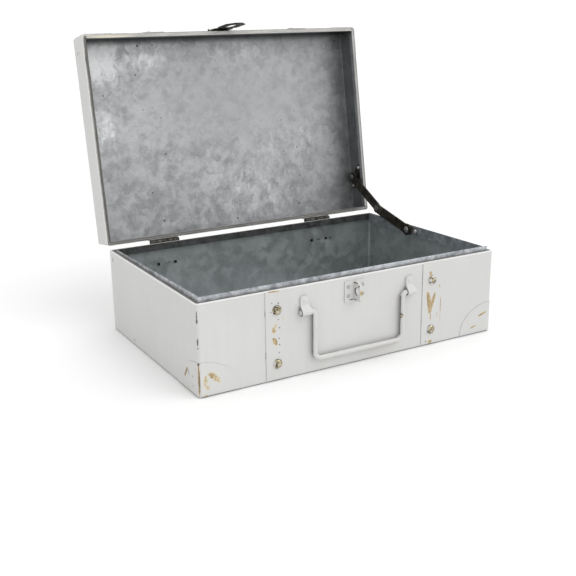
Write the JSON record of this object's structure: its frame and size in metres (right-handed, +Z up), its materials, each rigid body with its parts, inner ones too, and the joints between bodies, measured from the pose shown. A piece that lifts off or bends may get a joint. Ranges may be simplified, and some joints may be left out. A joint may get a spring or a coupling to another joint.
{
  "type": "small tin trunk",
  "caption": "Small painted tin trunk with its lid open, galvanised inside, with a hasp and staple, a wire bail handle and a folding lid stay.",
  "frame": {"origin": "middle of the case's base, on the surface it stands on", "axes": "+X to the viewer's right when the front is faced; +Y to the back, where the hinges are; +Z up"},
  "size_m": [0.3574, 0.3168, 0.3345],
  "materials": {
    "case_paint": "worn off-white paint over tin",
    "trim_paint": "worn off-white paint, brassy metal at the edges",
    "galvanised": "dull spangled zinc",
    "nail_brass": "brass with remains of white paint",
    "handle_paint": "worn off-white paint",
    "latch_metal": "worn off-white paint, brassy metal at the edges",
    "hinge_steel": "worn off-white paint over steel",
    "dark_steel": "dark bronzed steel",
    "stay_rivet_steel": "bright steel rivet heads"
  },
  "bodies": {
    "case": {"case_walls": "case_paint", "case_floor": "galvanised", "collar_front": "galvanised", "collar_back": "galvanised", "collar_left": "galvanised", "collar_right": "galvanised", "case_strap_left": "trim_paint", "case_strap_right": "trim_paint", "case_strap_nails": "nail_brass", "case_corner_left": "trim_paint", "case_corner_right": "trim_paint", "handle_ear_left": "handle_paint", "handle_ear_right": "handle_paint", "handle_ear_rivets": "handle_paint", "staple_plate": "latch_metal", "staple_loop": "latch_metal", "staple_rivets": "latch_metal", "hinge_case_leaf_left": "hinge_steel", "hinge_case_leaf_right": "hinge_steel", "hinge_pin_left": "hinge_steel", "hinge_pin_right": "hinge_steel", "hinge_case_rivets": "hinge_steel", "stay_case_plate": "dark_steel", "stay_case_rivets": "stay_rivet_steel", "stay_case_pivot_pin": "dark_steel"},
    "lid": {"lid_shell": "case_paint", "lid_strap_left": "trim_paint", "lid_strap_right": "trim_paint", "lid_strap_nails": "nail_brass", "lid_corner_left": "trim_paint", "lid_corner_right": "trim_paint", "hinge_lid_leaf_left": "hinge_steel", "hinge_lid_leaf_right": "hinge_steel", "hinge_lid_rivets": "hinge_steel", "hasp_leaf": "latch_metal", "hasp_leaf_rivets": "latch_metal", "hasp_pin": "latch_metal", "stay_lid_plate": "dark_steel", "stay_lid_rivets": "stay_rivet_steel", "stay_lid_pivot_pin": "dark_steel"},
    "hasp": {"hasp_blade": "latch_metal"},
    "bail": {"handle_bail": "handle_paint"},
    "lower_arm": {"stay_lower_arm": "dark_steel", "stay_middle_rivet": "dark_steel"},
    "upper_arm": {"stay_upper_arm": "dark_steel", "stay_middle_rivet_end": "dark_steel"}
  },
  "joints": [
    {"name": "lid_hinge", "type": "hinge", "parent": "case", "child": "lid", "pos_m": [0, 0.11925, 0.0932], "axis": [1, 0, 0], "range_deg": [0, 99]},
    {"name": "hasp_swing", "type": "hinge", "parent": "lid", "child": "hasp", "pos_m": [-0.004, 0.17643, 0.32511], "axis": [-1, 0, 0], "range_deg": [0, 175]},
    {"name": "handle_swing", "type": "hinge", "parent": "case", "child": "bail", "pos_m": [0, -0.11965, 0.0665], "axis": [-1, 0, 0], "range_deg": [0, 150]},
    {"name": "stay_lower_fold", "type": "hinge", "parent": "case", "child": "lower_arm", "pos_m": [0.169, 0.025, 0.0896], "axis": [-1, 0, 0], "range_deg": [0, 55]},
    {"name": "stay_upper_fold", "type": "hinge", "parent": "lid", "child": "upper_arm", "pos_m": [0.17, 0.1465, 0.13612], "axis": [-1, 0, 0], "range_deg": [0, 36.5]}
  ],
  "couplings": [
    {"joint": "stay_lower_fold", "follows": "lid_hinge", "ratio": 0.55236},
    {"joint": "stay_upper_fold", "follows": "lid_hinge", "ratio": 0.36289}
  ]
}
